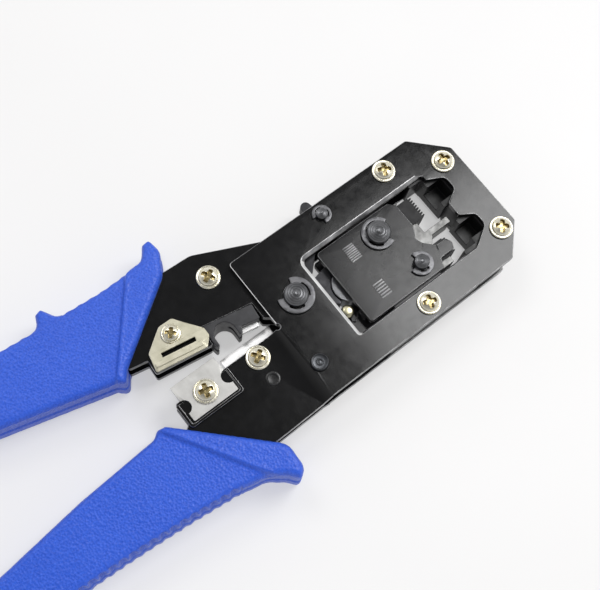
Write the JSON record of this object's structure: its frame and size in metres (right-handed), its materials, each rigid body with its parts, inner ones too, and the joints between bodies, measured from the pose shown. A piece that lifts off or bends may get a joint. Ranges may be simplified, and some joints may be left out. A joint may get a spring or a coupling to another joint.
{
  "type": "modular plug crimping tool",
  "caption": "Ratchet hand tool with a sliding die that crimps modular network and telephone plugs, with a cable cutter and strippers between its blue-gripped handles.",
  "frame": {"origin": "main pivot axis, at the plane that the tool lies on", "axes": "+X from the pivot to the tip of the head, +Y towards the moving handle, +Z out of the front face"},
  "size_m": [0.2137, 0.0918, 0.0186],
  "materials": {
    "black_paint": "satin black coated sheet steel",
    "grey_black_paint": "satin grey-black coated steel",
    "dark_steel": "hardened, blackened",
    "zinc_screws": "bright zinc plating with a faint yellow tint",
    "zinc_sheet": "zinc plated sheet",
    "ground_steel": "ground, bright",
    "turned_steel": "turned, dull grey",
    "spring_steel": "phosphated, satin",
    "brass": "turned",
    "black_plastic": "moulded, matte",
    "blue_grip": "moulded with a fine pebble texture"
  },
  "bodies": {
    "frame": {"head_front_plate": "black_paint", "head_rear_plate": "black_paint", "die_nest_block": "black_paint", "upper_guide_bar": "grey_black_paint", "lower_guide_bar": "grey_black_paint", "head_screws": "zinc_screws", "head_nuts": "zinc_screws", "main_pivot_pin": "turned_steel", "main_pivot_clips": "spring_steel", "pawl_pin": "turned_steel", "pawl_pin_clips": "spring_steel", "pawl_spring": "spring_steel", "lower_rivet": "turned_steel", "eyelet_rivet": "turned_steel", "spring_anchor_screw": "brass", "carriage_return_spring": "spring_steel", "lower_arm_spacer": "dark_steel", "cutter_seat": "black_paint", "cutter_blade": "ground_steel", "cutter_screw": "zinc_screws", "strip_blade": "ground_steel", "strip_blade_screw": "zinc_screws", "lower_arm_nuts": "zinc_screws", "lower_grip": "blue_grip"},
    "moving_handle": {"upper_arm_front_plate": "black_paint", "upper_arm_rear_plate": "black_paint", "cam_ratchet_plate": "dark_steel", "upper_arm_spacer": "dark_steel", "upper_arm_screw": "zinc_screws", "flat_stripper_plate": "zinc_sheet", "flat_stripper_screw": "zinc_screws", "upper_arm_nuts": "zinc_screws", "round_strip_guide": "black_plastic", "upper_strip_blade": "ground_steel", "upper_grip": "blue_grip"},
    "die_carriage": {"carriage_front_plate": "grey_black_paint", "carriage_rear_plate": "grey_black_paint", "carriage_core": "grey_black_paint", "die_block": "ground_steel", "contact_comb_8": "dark_steel", "contact_comb_6": "dark_steel", "carriage_pin_large": "turned_steel", "carriage_pin_small": "turned_steel", "carriage_clips_large": "spring_steel", "carriage_clips_small": "spring_steel", "roller_pin": "turned_steel"},
    "roller": {"cam_roller": "turned_steel"},
    "pawl": {"ratchet_pawl": "dark_steel"}
  },
  "joints": [
    {"name": "handle_hinge", "type": "hinge", "parent": "frame", "child": "moving_handle", "pos_m": [0, 0, 0.0086], "axis": [0, 0, 1], "range_deg": [0, 11], "stiffness_Nm_per_rad": 1.5, "springref_deg": -8.59},
    {"name": "carriage_slide", "type": "slide", "parent": "frame", "child": "die_carriage", "axis": [1, 0, 0], "range_m": [0, 0.002], "deforming": ["carriage_return_spring"]},
    {"name": "roller_spin", "type": "hinge", "parent": "die_carriage", "child": "roller", "pos_m": [0.0175, -0.0065, 0.0086], "axis": [0, 0, 1], "continuous": true},
    {"name": "pawl_swing", "type": "hinge", "parent": "frame", "child": "pawl", "pos_m": [0.024, 0.0169, 0.0086], "axis": [0, 0, 1], "range_deg": [-10, 0], "stiffness_Nm_per_rad": 0.05, "springref_deg": 11.46, "deforming": ["pawl_spring"]}
  ],
  "couplings": [
    {"joint": "carriage_slide", "follows": "handle_hinge", "m_per_rad": 0.010417}
  ]
}
